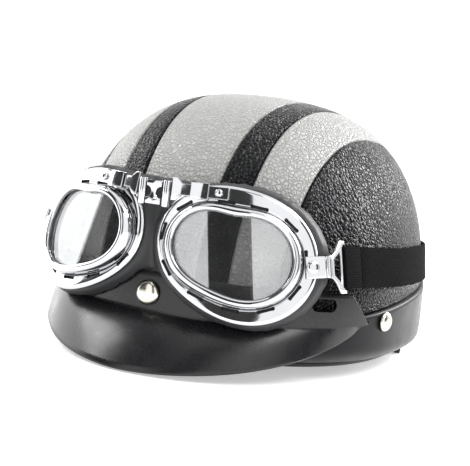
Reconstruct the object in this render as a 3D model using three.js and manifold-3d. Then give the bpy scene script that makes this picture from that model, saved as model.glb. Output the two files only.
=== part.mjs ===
// Open-face half helmet with a leather-covered dome, a short peak and aviator goggles.
// Millimetres, +Z up. The front faces -Y and +X is the wearer's left.
import * as THREE from 'three';
import { mergeVertices } from 'three/addons/utils/BufferGeometryUtils.js';
import Module from 'manifold-3d';

const wasm = await Module();
wasm.setup();

// Dome: a super-ellipsoid, given at the outer face of the leather
const HALF_WIDTH = 115;
const FRONT_DEPTH = 137;
const REAR_DEPTH = 128;
const CROWN_RISE = 147.5;
const WAIST_Z = 21.7;
const PLAN_POWER = 2.3;
const SIDE_POWER = 2.57;
const AROUND = 36;
const UPWARD = 8;

// Layers, as offsets from the outer face of the leather
const GAP = 0.3;
const LEATHER = 2.6;
const BAND_PROUD = 1.8;
const SHELL_INSIDE = -6.5;
const FOAM_INSIDE = -26;
const LINING_INSIDE = -32;
const RIM_Z = 10.5;
const LINER_Z = 18;
const SHELL_ROLL = 23;
const STRAIGHT = 900;
const LEATHER_EDGE_Z = 47.9;
const LEATHER_EDGE_SLOPE = 0.118;

// Leather seams: half-width at the crown and how much it narrows towards each end
const SEAMS = [
  { half: 30, taper: 0.17 },
  { half: 46.5, taper: 0.06 },
  { half: 75, taper: 0.09 },
];

// Peak
const PEAK_THICKNESS = 2.5;
const PEAK_TOP_Z = 54;
const PEAK_EDGE_HALF_WIDTH = 106;
const PEAK_EDGE_REACH = 115.6;
const PEAK_EDGE_CENTRE_Y = -55.2;
const PEAK_EDGE_POWER = 1.83;
const PEAK_EDGE_LOW_Z = 1.9;
const PEAK_EDGE_SLOPE = 0.166;
const PEAK_EDGE_SWEEP = 0.0011;
const PEAK_CREASE_FRONT_Z = 31;
const PEAK_CREASE_END_Z = 35.5;
const PEAK_TOP_ANGLE = THREE.MathUtils.degToRad(52);
const PEAK_END_ANGLE = THREE.MathUtils.degToRad(59.5);
const PEAK_SLOT_LENGTH = 17;
const PEAK_SLOT_HEIGHT = 7.6;
const PEAK_SLOT_CENTRE = new THREE.Vector3(91.6, -97.4, 46.8);
const PEAK_SLOT_YAW = THREE.MathUtils.degToRad(49);

// Goggle cups: centre of the flange, its tilt, and the two egg-shaped outlines
const CUP_CENTRE = new THREE.Vector3(46.4, -139.1, 74.7);
const CUP_YAW = THREE.MathUtils.degToRad(19.65);
const CUP_PITCH = THREE.MathUtils.degToRad(8.4);
const CUP_ROLL = THREE.MathUtils.degToRad(10.9);
const CUP_CURVE = 0.0081;
const FLANGE_EGG = [41.7, 3.7, -3.6, 3.1, -4.2];
const MASK_EGG = [43.5, 4.7, -3.7, 4.3, -4.2];
const LENS_EGG = [27.9, 1.7, -4.4, 4.9, -4.1];
const BEZEL_WIDTH = 5.6;
const VENT_ANGLES = [17, 49, 89, 133, 162, 194, 232, 269, 298, 323, 349];
const VENT_LENGTH = 10;
const VENT_WIDTH = 1.8;

// Goggle strap
const STRAP_HEIGHT = 24;
const STRAP_THICKNESS = 1.8;
const STRAP_Z = 69;
const STRAP_SPLIT_X = 31;
const HOOK_LENGTH = 16;
const LOOP_LENGTH = 19.5;

// Chin strap
const CHIN_OFFSET = -35.8;
const CHIN_THICKNESS = 1.6;
const CHIN_HEIGHT = 20;
const CHIN_PIVOT = new THREE.Vector3(80, -14, 12);
const BUCKLE_START_Y = 4;
const BUCKLE_END_Y = 42;

const model = new THREE.Group();
const helmet = new THREE.Group();
model.add(helmet);

function finish(color, roughness, metalness) {
  return new THREE.MeshStandardMaterial({ color, roughness, metalness });
}
const greyLeather = () => finish(0x9b9c9c, 0.55, 0);
const blackLeather = () => finish(0x26282a, 0.5, 0);
const blackPlastic = () => finish(0x2a2b2c, 0.45, 0);
const blackRubber = () => finish(0x2b2b2c, 0.7, 0);
const blackWebbing = () => finish(0x161617, 0.9, 0);
const paleNickel = () => finish(0xd9d6c8, 0.3, 1);
const chrome = () => finish(0xe8eaec, 0.08, 1);
const foam = () => finish(0x1d1d1e, 0.95, 0);
const clear = () => finish(0xdfe5e8, 0.05, 0);

// ---------- solids ----------

function signedVolume(position, triangles) {
  const a = new THREE.Vector3();
  const b = new THREE.Vector3();
  const c = new THREE.Vector3();
  let total = 0;
  for (let i = 0; i < triangles.length; i += 3) {
    a.fromBufferAttribute(position, triangles[i]);
    b.fromBufferAttribute(position, triangles[i + 1]);
    c.fromBufferAttribute(position, triangles[i + 2]);
    total += a.dot(b.cross(c));
  }
  return total;
}

function solid(geometry) {
  geometry.deleteAttribute('normal');
  geometry.deleteAttribute('uv');
  const merged = mergeVertices(geometry, 1e-4);
  const triangles = [];
  for (let i = 0; i < merged.index.count; i += 3) {
    const [a, b, c] = [0, 1, 2].map((k) => merged.index.getX(i + k));
    if (a !== b && b !== c && a !== c) triangles.push(a, b, c);
  }
  if (signedVolume(merged.attributes.position, triangles) < 0) triangles.reverse();
  return new wasm.Manifold(new wasm.Mesh({
    numProp: 3,
    vertProperties: Float32Array.from(merged.attributes.position.array),
    triVerts: Uint32Array.from(triangles),
  }));
}

function addMesh(parent, name, body, material) {
  const result = body.getMesh();
  const geometry = new THREE.BufferGeometry();
  geometry.setAttribute('position', new THREE.BufferAttribute(result.vertProperties, 3));
  geometry.setIndex(new THREE.BufferAttribute(result.triVerts, 1));
  geometry.computeVertexNormals();
  const mesh = new THREE.Mesh(geometry, material);
  mesh.name = name;
  parent.add(mesh);
  return mesh;
}

function box(low, high) {
  const size = high.map((value, i) => value - low[i]);
  const geometry = new THREE.BoxGeometry(...size);
  geometry.translate(...low.map((value, i) => value + size[i] / 2));
  return solid(geometry);
}

// A box bent by a function of u (-1 to 1 along), v (0 to 1 across) and w (0 to 1 through)
function bentPlate(along, across, place) {
  const geometry = new THREE.BoxGeometry(2, 1, 1, along, across, 1);
  const position = geometry.attributes.position;
  for (let i = 0; i < position.count; i += 1) {
    const point = place(position.getX(i), position.getY(i) + 0.5, position.getZ(i) + 0.5);
    position.setXYZ(i, point.x, point.y, point.z);
  }
  return solid(geometry);
}

function plate(points, depth) {
  const shape = new THREE.Shape(points.map(([x, y]) => new THREE.Vector2(x, y)));
  return new THREE.ExtrudeGeometry(shape, { depth, bevelEnabled: false });
}

function round(radius, height, sides = 20) {
  return new THREE.CylinderGeometry(radius, radius, height, sides);
}

// ---------- dome ----------

function planRadius(x, y, offset) {
  const depth = (y < 0 ? FRONT_DEPTH : REAR_DEPTH) + offset;
  const across = (Math.abs(x) / (HALF_WIDTH + offset)) ** PLAN_POWER;
  const along = (Math.abs(y) / depth) ** PLAN_POWER;
  return Math.hypot(x, y) / (across + along) ** (1 / PLAN_POWER);
}

// How far the dome has closed in at a height: 1 at the waist, 0 at the crown
function closing(z, offset = 0) {
  const rise = Math.max(z - WAIST_Z, 0) / (CROWN_RISE + offset);
  return (1 - rise ** SIDE_POWER) ** (1 / SIDE_POWER);
}

function domePoint(angle, z, offset) {
  const direction = new THREE.Vector3(Math.sin(angle), -Math.cos(angle), 0);
  const reach = planRadius(direction.x, direction.y, offset) * closing(z, offset);
  return direction.multiplyScalar(reach).setZ(z);
}

function domeProfile(offset, roll, bottom) {
  const points = [new THREE.Vector2(0, bottom)];
  const lowerSteps = 4;
  for (let i = lowerSteps; i >= 1; i -= 1) {
    const drop = (WAIST_Z - bottom) * (i / lowerSteps);
    const inward = (1 - (drop / roll) ** SIDE_POWER) ** (1 / SIDE_POWER);
    points.push(new THREE.Vector2(inward, WAIST_Z - drop));
  }
  for (let i = 0; i <= UPWARD; i += 1) {
    const angle = (i / UPWARD) * Math.PI / 2;
    const inward = i === UPWARD ? 0 : Math.cos(angle) ** (2 / SIDE_POWER);
    const rise = (CROWN_RISE + offset) * Math.sin(angle) ** (2 / SIDE_POWER);
    points.push(new THREE.Vector2(inward, WAIST_Z + rise));
  }
  return points;
}

function dome(offset, roll, bottom) {
  const geometry = new THREE.LatheGeometry(domeProfile(offset, roll, bottom), AROUND);
  geometry.rotateX(Math.PI / 2);
  const position = geometry.attributes.position;
  for (let i = 0; i < position.count; i += 1) {
    const x = position.getX(i);
    const y = position.getY(i);
    const inward = Math.hypot(x, y);
    if (inward > 1e-6) {
      const reach = planRadius(x / inward, y / inward, offset);
      position.setXY(i, x * reach, y * reach);
    }
  }
  return solid(geometry);
}

function belowLeatherEdge(shift) {
  const size = 700;
  const geometry = new THREE.BoxGeometry(size, size, size);
  geometry.translate(0, 0, -size / 2);
  geometry.rotateX(Math.atan(LEATHER_EDGE_SLOPE));
  geometry.translate(0, 0, LEATHER_EDGE_Z + shift);
  return solid(geometry);
}

function buildShell() {
  const band = dome(BAND_PROUD, SHELL_ROLL, RIM_Z).intersect(belowLeatherEdge(-GAP));
  const crown = dome(-LEATHER - GAP, SHELL_ROLL, RIM_Z);
  const cavity = dome(SHELL_INSIDE, SHELL_ROLL + 3, 0);
  addMesh(helmet, 'outer_shell', band.add(crown).subtract(cavity), blackPlastic());
}

// ---------- leather ----------

function seamX(seam, y) {
  return seam.half * (1 - seam.taper * (y / REAR_DEPTH) ** 2);
}

// Prism between two seam lines; a missing inner seam means the strip crosses the middle
function stripPrism(inner, outer, side) {
  const reach = 150;
  const steps = 10;
  const outline = [];
  const edge = (seam, y, shift) => (seam ? seamX(seam, y) + shift : 160);
  for (let i = 0; i <= steps; i += 1) {
    const y = -reach + (2 * reach * i) / steps;
    outline.push([side * edge(outer, y, -GAP / 2), y]);
  }
  for (let i = steps; i >= 0; i -= 1) {
    const y = -reach + (2 * reach * i) / steps;
    outline.push([inner ? side * edge(inner, y, GAP / 2) : -side * edge(outer, y, -GAP / 2), y]);
  }
  return solid(plate(outline, 220));
}

function buildLeather() {
  const skin = dome(0, SHELL_ROLL, RIM_Z).subtract(dome(-LEATHER, SHELL_ROLL, 0)).subtract(belowLeatherEdge(0));
  const [first, second, third] = SEAMS;
  addMesh(helmet, 'leather_center', skin.intersect(stripPrism(null, first, 1)), greyLeather());
  for (const [name, side] of [['left', 1], ['right', -1]]) {
    const strips = [
      [`leather_black_stripe_${name}`, first, second, blackLeather()],
      [`leather_grey_stripe_${name}`, second, third, greyLeather()],
      [`leather_side_${name}`, third, null, blackLeather()],
    ];
    for (const [label, inner, outer, material] of strips) {
      addMesh(helmet, label, skin.intersect(stripPrism(inner, outer, side)), material);
    }
  }
}

// ---------- liner and padding ----------

function ring(outer, inner, low, high) {
  const slab = box([-200, -200, low], [200, 200, high]);
  return dome(outer, STRAIGHT, low - 5).subtract(dome(inner, STRAIGHT, low - 10)).intersect(slab);
}

function buildLiner() {
  const outside = dome(SHELL_INSIDE - GAP, SHELL_ROLL + 2.6, LINER_Z);
  addMesh(helmet, 'foam_liner', outside.subtract(dome(FOAM_INSIDE, STRAIGHT, 0)), foam());
  const padding = dome(FOAM_INSIDE - GAP, STRAIGHT, LINER_Z).subtract(dome(LINING_INSIDE, STRAIGHT, 0));
  const crownZ = 118;
  const browZ = 70;
  const pads = {
    lining_crown: [[-200, -200, crownZ], [200, 200, 200]],
    lining_front: [[-52, -200, 0], [52, -20, browZ]],
    lining_rear: [[-48, 20, 0], [48, 200, browZ]],
    lining_side_left: [[58, -200, 0], [200, 200, browZ]],
    lining_side_right: [[-200, -200, 0], [-58, 200, browZ]],
  };
  for (const [name, [low, high]] of Object.entries(pads)) {
    addMesh(helmet, name, padding.intersect(box(low, high)), foam());
  }
}

function buildRim() {
  addMesh(helmet, 'edge_trim', ring(-11, -17.5, 6, RIM_Z - GAP), blackRubber());
  const rear = box([-200, 50, -50], [200, 200, 50]);
  const roll = ring(-8, -30, 0, 5.7).add(ring(-18.4, -30, 5.6, LINER_Z - GAP));
  addMesh(helmet, 'neck_pad', roll.intersect(rear), foam());
}

// ---------- peak ----------

function peakEdge(angle) {
  const end = THREE.MathUtils.degToRad(88);
  const around = (angle / PEAK_END_ANGLE) * end;
  const x = PEAK_EDGE_HALF_WIDTH * Math.sign(around) * Math.abs(Math.sin(around)) ** (2 / PEAK_EDGE_POWER);
  const y = PEAK_EDGE_CENTRE_Y - PEAK_EDGE_REACH * Math.cos(around) ** (2 / PEAK_EDGE_POWER);
  const back = y - PEAK_EDGE_CENTRE_Y + PEAK_EDGE_REACH;
  return new THREE.Vector3(x, y, PEAK_EDGE_LOW_Z + PEAK_EDGE_SLOPE * back + PEAK_EDGE_SWEEP * back ** 2);
}

// Point of the peak: u along, v from its top edge down and out, and a depth below its outer face
function peakPoint(u, v, depth) {
  const bandShare = 0.4;
  const outward = BAND_PROUD + GAP + PEAK_THICKNESS;
  const endShare = Math.abs(u) ** 3;
  const creaseZ = THREE.MathUtils.lerp(PEAK_CREASE_FRONT_Z, PEAK_CREASE_END_Z, u * u);
  const creaseAngle = u * PEAK_END_ANGLE;
  const crease = domePoint(creaseAngle, creaseZ, outward);
  const radial = new THREE.Vector3(crease.x, crease.y, 0).normalize();
  let point;
  let normal = radial.clone();
  if (v <= bandShare) {
    const up = 1 - v / bandShare;
    const topAngle = u * THREE.MathUtils.lerp(PEAK_END_ANGLE, PEAK_TOP_ANGLE, endShare * up);
    point = domePoint(topAngle, THREE.MathUtils.lerp(creaseZ, PEAK_TOP_Z, up), outward);
  } else {
    const out = (v - bandShare) / (1 - bandShare);
    point = crease.clone().lerp(peakEdge(creaseAngle), out);
    point.z += 3 * Math.sin(Math.PI * out) * (1 - endShare);
    normal = radial.clone().multiplyScalar(0.66).add(new THREE.Vector3(0, 0, 0.75)).normalize();
  }
  return point.addScaledVector(normal, -depth);
}

function peakSlot(side) {
  const half = (PEAK_SLOT_LENGTH - PEAK_SLOT_HEIGHT) / 2;
  const shape = new THREE.Shape();
  shape.absarc(half, 0, PEAK_SLOT_HEIGHT / 2, -Math.PI / 2, Math.PI / 2);
  shape.absarc(-half, 0, PEAK_SLOT_HEIGHT / 2, Math.PI / 2, Math.PI * 1.5);
  const depth = 20;
  const geometry = new THREE.ExtrudeGeometry(shape, { depth, bevelEnabled: false, curveSegments: 5 });
  geometry.translate(0, 0, -depth / 2);
  geometry.rotateX(Math.PI / 2);
  geometry.rotateZ(side * PEAK_SLOT_YAW);
  geometry.translate(side * PEAK_SLOT_CENTRE.x, PEAK_SLOT_CENTRE.y, PEAK_SLOT_CENTRE.z);
  return solid(geometry);
}

function buildPeak() {
  const whole = bentPlate(26, 5, (u, v, w) => peakPoint(u, v, PEAK_THICKNESS * w));
  const clearance = dome(BAND_PROUD + GAP / 2, STRAIGHT, 0);
  const pieces = whole.subtract(clearance).subtract(peakSlot(1)).subtract(peakSlot(-1)).decompose();
  const [peak] = pieces.sort((one, other) => other.volume() - one.volume());
  addMesh(helmet, 'peak', peak, blackPlastic());
}

// ---------- snap fasteners ----------

function snapCap(radius, height, sides = 16) {
  const profile = [[0, 0], [1, 0], [1, 0.3], [0.82, 0.72], [0.45, 0.94], [0, 1]];
  const points = profile.map(([x, y]) => new THREE.Vector2(x * radius, y * height));
  const geometry = new THREE.LatheGeometry(points, sides);
  geometry.rotateX(Math.PI / 2);
  return solid(geometry);
}

function surfaceFrame(angle, z, offset) {
  const at = domePoint(angle, z, offset);
  const along = domePoint(angle + 0.01, z, offset).sub(at).normalize();
  const upward = domePoint(angle, z + 0.5, offset).sub(at).normalize();
  const outward = new THREE.Vector3().crossVectors(along, upward).normalize();
  const across = new THREE.Vector3().crossVectors(outward, along);
  return new THREE.Matrix4().makeBasis(along, across, outward).setPosition(at);
}

function placeMesh(parent, name, body, material, matrix) {
  const mesh = addMesh(parent, name, body, material);
  matrix.decompose(mesh.position, mesh.quaternion, mesh.scale);
  return mesh;
}

function buildSnaps() {
  const onPeak = BAND_PROUD + GAP + PEAK_THICKNESS + GAP;
  placeMesh(helmet, 'peak_snap', snapCap(7.4, 3.6), paleNickel(), surfaceFrame(0, 41.5, onPeak + 0.2));
  const sideAngle = THREE.MathUtils.degToRad(68.5);
  for (const [name, side] of [['left', 1], ['right', -1]]) {
    const matrix = surfaceFrame(side * sideAngle, 36, BAND_PROUD + GAP + 0.4);
    placeMesh(helmet, `side_snap_${name}`, snapCap(6.2, 3.4), paleNickel(), matrix);
  }
}

// ---------- goggles ----------

function cupBasis(side) {
  const n = new THREE.Vector3(
    Math.sin(CUP_YAW) * Math.cos(CUP_PITCH),
    -Math.cos(CUP_YAW) * Math.cos(CUP_PITCH),
    Math.sin(CUP_PITCH),
  );
  const u0 = new THREE.Vector3(Math.cos(CUP_YAW), Math.sin(CUP_YAW), 0);
  const v0 = new THREE.Vector3().crossVectors(n, u0);
  const u = u0.clone().multiplyScalar(Math.cos(CUP_ROLL)).addScaledVector(v0, Math.sin(CUP_ROLL));
  const v = v0.clone().multiplyScalar(Math.cos(CUP_ROLL)).addScaledVector(u0, -Math.sin(CUP_ROLL));
  const flip = (vector) => new THREE.Vector3(side * vector.x, vector.y, vector.z);
  return { u: flip(u), v: flip(v), n: flip(n), centre: flip(CUP_CENTRE) };
}

// Point on the cup's curved front at (outward, upward), raised by height
function cupPoint(side, outward, upward, height) {
  const { u, v, n, centre } = cupBasis(side);
  const sag = (CUP_CURVE * outward * outward) / 2;
  return centre.clone().addScaledVector(u, outward).addScaledVector(v, upward).addScaledVector(n, height - sag);
}

// Frame lying on the cup's curved front: X runs outward on the left cup and inward on the right
function cupSurface(side, outward, upward, height, twist) {
  const { u, n } = cupBasis(side);
  const slope = CUP_CURVE * outward;
  const along = u.clone().addScaledVector(n, -slope).normalize();
  const normal = n.clone().addScaledVector(u, slope).normalize();
  along.applyAxisAngle(normal, side * twist).multiplyScalar(side);
  const up = new THREE.Vector3().crossVectors(normal, along);
  return new THREE.Matrix4().makeBasis(along, up, normal).setPosition(cupPoint(side, outward, upward, height));
}

function handed(body, side) {
  return side > 0 ? body : body.mirror([1, 0, 0]);
}

// Radius of an egg-shaped outline: a mean with one and two waves round it
function egg([mean, c1, s1, c2, s2], angle) {
  const oneWave = c1 * Math.cos(angle) + s1 * Math.sin(angle);
  const twoWaves = c2 * Math.cos(2 * angle) + s2 * Math.sin(2 * angle);
  return mean + oneWave + twoWaves;
}

// Ring round the lens: profile points are [share from lens edge to outer edge, extra mm, height]
function cupRing(profile, segments, outerEgg = FLANGE_EGG) {
  const start = 10;
  const loop = [...profile, profile[0]];
  const geometry = new THREE.LatheGeometry(loop.map((_, i) => new THREE.Vector2(start + i, 0)), segments);
  const position = geometry.attributes.position;
  for (let i = 0; i < position.count; i += 1) {
    const index = Math.round(Math.hypot(position.getX(i), position.getZ(i))) - start;
    const [share, extra, height] = loop[index];
    const angle = Math.atan2(position.getX(i), position.getZ(i));
    const reach = THREE.MathUtils.lerp(egg(LENS_EGG, angle), egg(outerEgg, angle), share) + extra;
    const outward = reach * Math.cos(angle);
    const upward = reach * Math.sin(angle);
    position.setXYZ(i, outward, upward, height - (CUP_CURVE * outward * outward) / 2);
  }
  return geometry;
}

function mirrored(geometry, side) {
  geometry.scale(side, 1, 1);
  return solid(geometry);
}

function ventCutters(side) {
  const inset = BEZEL_WIDTH + GAP + 0.5 + VENT_WIDTH / 2;
  const at = (angle) => {
    const reach = egg(LENS_EGG, angle) + inset;
    return new THREE.Vector3(reach * Math.cos(angle), reach * Math.sin(angle), 0);
  };
  return VENT_ANGLES.map((degrees) => {
    const angle = THREE.MathUtils.degToRad(degrees);
    const centre = at(angle);
    const tangent = at(angle + 0.01).sub(centre);
    const geometry = new THREE.BoxGeometry(VENT_LENGTH, VENT_WIDTH, 30);
    geometry.rotateZ(Math.atan2(tangent.y, tangent.x));
    geometry.translate(centre.x, centre.y, 0);
    return mirrored(geometry, side);
  });
}

function buildCup(parent, name, side) {
  const { u, v, n, centre } = cupBasis(side);
  const cup = new THREE.Group();
  const across = u.clone().multiplyScalar(side);
  const matrix = new THREE.Matrix4().makeBasis(across, v, n).setPosition(centre);
  matrix.decompose(cup.position, cup.quaternion, cup.scale);
  parent.add(cup);
  const foot = BEZEL_WIDTH + GAP;
  const section = [[1, 0, 0], [1, 0, 1.2], [1, -2.5, 2.6], [0, foot, 2.2], [0, foot, 0.6], [1, -2.5, 0.6]];
  let flange = mirrored(cupRing(section, 36), side);
  for (const cutter of ventCutters(side)) flange = flange.subtract(cutter);
  addMesh(cup, `frame_${name}`, flange, chrome());
  const crest = BEZEL_WIDTH - 2;
  const bezel = cupRing([[0, BEZEL_WIDTH, 0.6], [0, BEZEL_WIDTH, 5.4], [0, crest, 8.4], [0, 1.4, 8.8], [0, 0, 7.4],
    [0, 0, 5.8], [0, 3, 5.8], [0, 3, 0.6]], 32);
  addMesh(cup, `bezel_${name}`, mirrored(bezel, side), chrome());
  addMesh(cup, `lens_${name}`, mirrored(lensDisc(2.6, 3.6, 5.3), side), clear());
}

// Closed disc following the cup's curve, reaching past the lens opening by extra
function lensDisc(extra, low, high) {
  const rings = 2;
  const points = [];
  for (let i = 0; i <= rings; i += 1) points.push(new THREE.Vector2(i, low));
  for (let i = rings; i >= 0; i -= 1) points.push(new THREE.Vector2(i, high));
  const geometry = new THREE.LatheGeometry(points, 28);
  const position = geometry.attributes.position;
  for (let i = 0; i < position.count; i += 1) {
    const share = Math.hypot(position.getX(i), position.getZ(i)) / rings;
    const angle = Math.atan2(position.getX(i), position.getZ(i));
    const reach = (egg(LENS_EGG, angle) + extra) * share;
    const outward = reach * Math.cos(angle);
    const height = position.getY(i) - (CUP_CURVE * outward * outward) / 2;
    position.setXYZ(i, outward, reach * Math.sin(angle), height);
  }
  return geometry;
}

function cupMatrix(side) {
  const { u, v, n, centre } = cupBasis(side);
  return new THREE.Matrix4().makeBasis(u, v, n).setPosition(centre);
}

function noseBridge() {
  const outline = [[-24, -137], [-12, -139.5], [0, -140.5], [12, -139.5], [24, -137], [24, -112], [-24, -112]];
  const lowZ = 52;
  const geometry = plate(outline, 56);
  geometry.translate(0, 0, lowZ);
  return solid(geometry);
}

function buildMask(parent) {
  const depth = -36;
  const wall = [[1, 0, -GAP], [1, 2.5, -8], [1, 3.5, depth], [0, 6, depth], [0, 6, -GAP]];
  let mask = noseBridge();
  for (const side of [1, -1]) {
    const ringShape = cupRing(wall, 32, MASK_EGG);
    ringShape.applyMatrix4(cupMatrix(side));
    mask = mask.add(solid(ringShape));
  }
  for (const side of [1, -1]) {
    const opening = lensDisc(6, depth - 10, 14);
    opening.applyMatrix4(cupMatrix(side));
    mask = mask.subtract(solid(opening));
  }
  const clearance = 0.5;
  const underPeak = 34;
  const peakZone = bentPlate(26, 5, (u, v, w) => peakPoint(u, v, underPeak * w - clearance));
  const aboveBand = new THREE.Vector3(0, 0, clearance);
  mask = mask.subtract(dome(0.8, STRAIGHT, 0)).subtract(peakZone);
  mask = mask.subtract(peakZone.translate(aboveBand.toArray()));
  addMesh(parent, 'mask_cushion', mask, blackRubber());
}

// ---------- bridge hardware between the cups ----------

const BRIDGE_Z = 100;
const BRIDGE_Y = -148;
const PIN_X = 7.8;
const LINK_HALF = 16.5;

function bridgeMatrix(x) {
  return new THREE.Matrix4().makeRotationX(Math.PI / 2).setPosition(x, BRIDGE_Y, BRIDGE_Z);
}

function linkMatrix(side) {
  return cupSurface(side, -14, 32.4, 2.9, THREE.MathUtils.degToRad(-10));
}

function bridgePlate(parent) {
  const half = 4.9;
  const tall = 6.8;
  const notch = 3.4;
  const shape = new THREE.Shape();
  shape.moveTo(-half, -tall);
  shape.lineTo(half, -tall);
  shape.absarc(half, 0, notch, -Math.PI / 2, Math.PI / 2, true);
  shape.lineTo(half, tall);
  shape.lineTo(-half, tall);
  shape.absarc(-half, 0, notch, Math.PI / 2, -Math.PI / 2, true);
  const geometry = new THREE.ExtrudeGeometry(shape, { depth: 1.5, bevelEnabled: false, curveSegments: 6 });
  placeMesh(parent, 'bridge_plate', solid(geometry), chrome(), bridgeMatrix(0));
}

function buildBridgeSide(parent, name, side) {
  placeMesh(parent, `bridge_pin_${name}`, solid(round(2.4, 15, 14)), chrome(), bridgeMatrix(side * PIN_X));
  const half = LINK_HALF;
  const link = plate([[-half, -6.6], [3 - half, -6.6], [6 - half, -3.4], [half, -3.6], [half, 3.6], [6 - half, 3.4],
    [3 - half, 6.6], [-half, 6.6]], 1.2).translate(0, 0, GAP);
  placeMesh(parent, `bridge_link_${name}`, handed(solid(link), side), chrome(), linkMatrix(side));
  const channel = box([-9, -3.9, -9], [9, 3.9, 2]);
  const clamp = box([-5.2, -4.7, 0], [5.2, 4.7, 3]).subtract(channel);
  placeMesh(parent, `bridge_clamp_${name}`, clamp, chrome(), linkMatrix(side));
  const rivet = snapCap(2.3, 1.4, 12).translate([LINK_HALF - 5.5, 0, 1.8]);
  placeMesh(parent, `bridge_rivet_${name}`, handed(rivet, side), chrome(), linkMatrix(side));
}

// ---------- strap ----------

function strapOffset(y) {
  const onBand = THREE.MathUtils.smoothstep(y, 35, 85);
  return 0.5 + onBand * (BAND_PROUD + 0.1);
}

const TAB = { outward: 46, upward: -13.2, half: 6.2, length: 13.5, inner: -4.2, rivet: -0.3 };
const HINGE_X = TAB.inner + TAB.length;

function tabMatrix(side) {
  return cupSurface(side, TAB.outward, TAB.upward, 3, 0);
}

function hingePoint(side) {
  return new THREE.Vector3(side * HINGE_X, 0, 1.2).applyMatrix4(tabMatrix(side));
}

// Angle round the dome where a straight strap from the hinge first lies on it
function tangentAngle() {
  const hinge = hingePoint(1);
  let best = 0;
  let widest = -Infinity;
  for (let angle = 0.9; angle < 1.6; angle += 0.005) {
    const point = domePoint(angle, STRAP_Z, strapOffset(0));
    const bearing = Math.atan2(point.x - hinge.x, point.y - hinge.y);
    if (bearing > widest) {
      widest = bearing;
      best = angle;
    }
  }
  return best;
}

const TANGENT = tangentAngle();

// Hook frame: X runs back along the strap on the left and forward on the right, Y up the knuckle, Z out
function hookMatrix(side) {
  const hinge = hingePoint(side);
  const touch = domePoint(side * TANGENT, STRAP_Z, strapOffset(0));
  const up = new THREE.Vector3().setFromMatrixColumn(tabMatrix(side), 1);
  const back = touch.sub(hinge);
  const along = back.addScaledVector(up, -back.dot(up)).normalize().multiplyScalar(side);
  const outward = new THREE.Vector3().crossVectors(along, up);
  return new THREE.Matrix4().makeBasis(along, up, outward).setPosition(hinge);
}

// One side of the strap, from distance `start` behind the hinge to the split at the back
function strapSide(side, start) {
  const straightShare = 0.14;
  const endAngle = Math.PI - Math.asin(STRAP_SPLIT_X / REAR_DEPTH);
  const hook = hookMatrix(side);
  const place = (u, v, w) => {
    const t = (u + 1) / 2;
    const across = (v - 0.5) * STRAP_HEIGHT;
    const angle = THREE.MathUtils.lerp(TANGENT, endAngle, Math.max(t - straightShare, 0) / (1 - straightShare));
    const flat = domePoint(side * angle, STRAP_Z + across, 0);
    const onDome = domePoint(side * angle, STRAP_Z + across, strapOffset(flat.y) + STRAP_THICKNESS * w);
    if (t >= straightShare) return onDome;
    const atLoop = new THREE.Vector3(side * start, across, STRAP_THICKNESS * w).applyMatrix4(hook);
    return atLoop.lerp(onDome, t / straightShare);
  };
  return bentPlate(24, 1, place);
}

function rearStrap() {
  const endAngle = Math.asin((STRAP_SPLIT_X - 3 * GAP) / REAR_DEPTH);
  return bentPlate(6, 1, (u, v, w) => domePoint(
    Math.PI + u * endAngle,
    STRAP_Z + (v - 0.5) * STRAP_HEIGHT,
    strapOffset(REAR_DEPTH) + STRAP_THICKNESS * w,
  ));
}

function buildSideHardware(parent, name, side) {
  const tab = box([TAB.inner, -TAB.half, 0], [HINGE_X - 0.4, TAB.half, 1.4]);
  const knuckle = round(1.9, TAB.half * 2, 12).translate(HINGE_X, 0, 1.3);
  placeMesh(parent, `side_tab_${name}`, handed(tab.add(solid(knuckle)), side), chrome(), tabMatrix(side));
  const rivet = snapCap(3.8, 1.8, 14).translate([TAB.rivet, 0, 1.7]);
  placeMesh(parent, `side_rivet_${name}`, handed(rivet, side), chrome(), tabMatrix(side));
}

function buildHook(parent, name, side) {
  const tall = 15.2;
  const back = HOOK_LENGTH;
  const lip = 2.4;
  const upper = [[2.3, 6.6], [3.6, 6.6], [8, 9.5], [back - 3.6, tall], [back + lip, tall], [back + lip, tall - 2.2],
    [back, tall - 2.2]];
  const lower = upper.map(([x, y]) => [x, -y]).reverse();
  const frame = solid(plate([...upper, ...lower], 1.5).translate(0, 0, -0.75));
  const windowEnd = back - 3.2;
  const hole = solid(plate([[5.4, -4.4], [windowEnd, -9], [windowEnd, 9], [5.4, 4.4]], 10).translate(0, 0, -5));
  placeMesh(parent, `strap_hook_${name}`, handed(frame.subtract(hole), side), chrome(), hookMatrix(side));
  const loop = box([back + GAP, -STRAP_HEIGHT / 2, -2], [back + LOOP_LENGTH, STRAP_HEIGHT / 2, 2]);
  placeMesh(parent, `strap_loop_${name}`, handed(loop, side), blackWebbing(), hookMatrix(side));
}

function buildAdjuster(parent) {
  const side = -1;
  const along = HOOK_LENGTH + LOOP_LENGTH + 8;
  const opening = box([-9, -12.8, -0.8], [9, 12.8, STRAP_THICKNESS + 0.8]);
  const frame = box([-4, -14.8, -2], [4, 14.8, STRAP_THICKNESS + 2.2]).subtract(opening);
  const matrix = hookMatrix(side).multiply(new THREE.Matrix4().makeTranslation(side * along, 0, 0));
  placeMesh(parent, 'strap_adjuster', frame, blackPlastic(), matrix);
}

function buildGoggles() {
  const goggles = new THREE.Group();
  helmet.add(goggles);
  buildMask(goggles);
  bridgePlate(goggles);
  for (const [name, side] of [['left', 1], ['right', -1]]) {
    buildCup(goggles, name, side);
    buildBridgeSide(goggles, name, side);
    buildSideHardware(goggles, name, side);
    buildHook(goggles, name, side);
    addMesh(goggles, `strap_${name}`, strapSide(side, HOOK_LENGTH + LOOP_LENGTH + GAP), blackWebbing());
  }
  buildAdjuster(goggles);
}

// ---------- strap keeper at the back ----------

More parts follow.
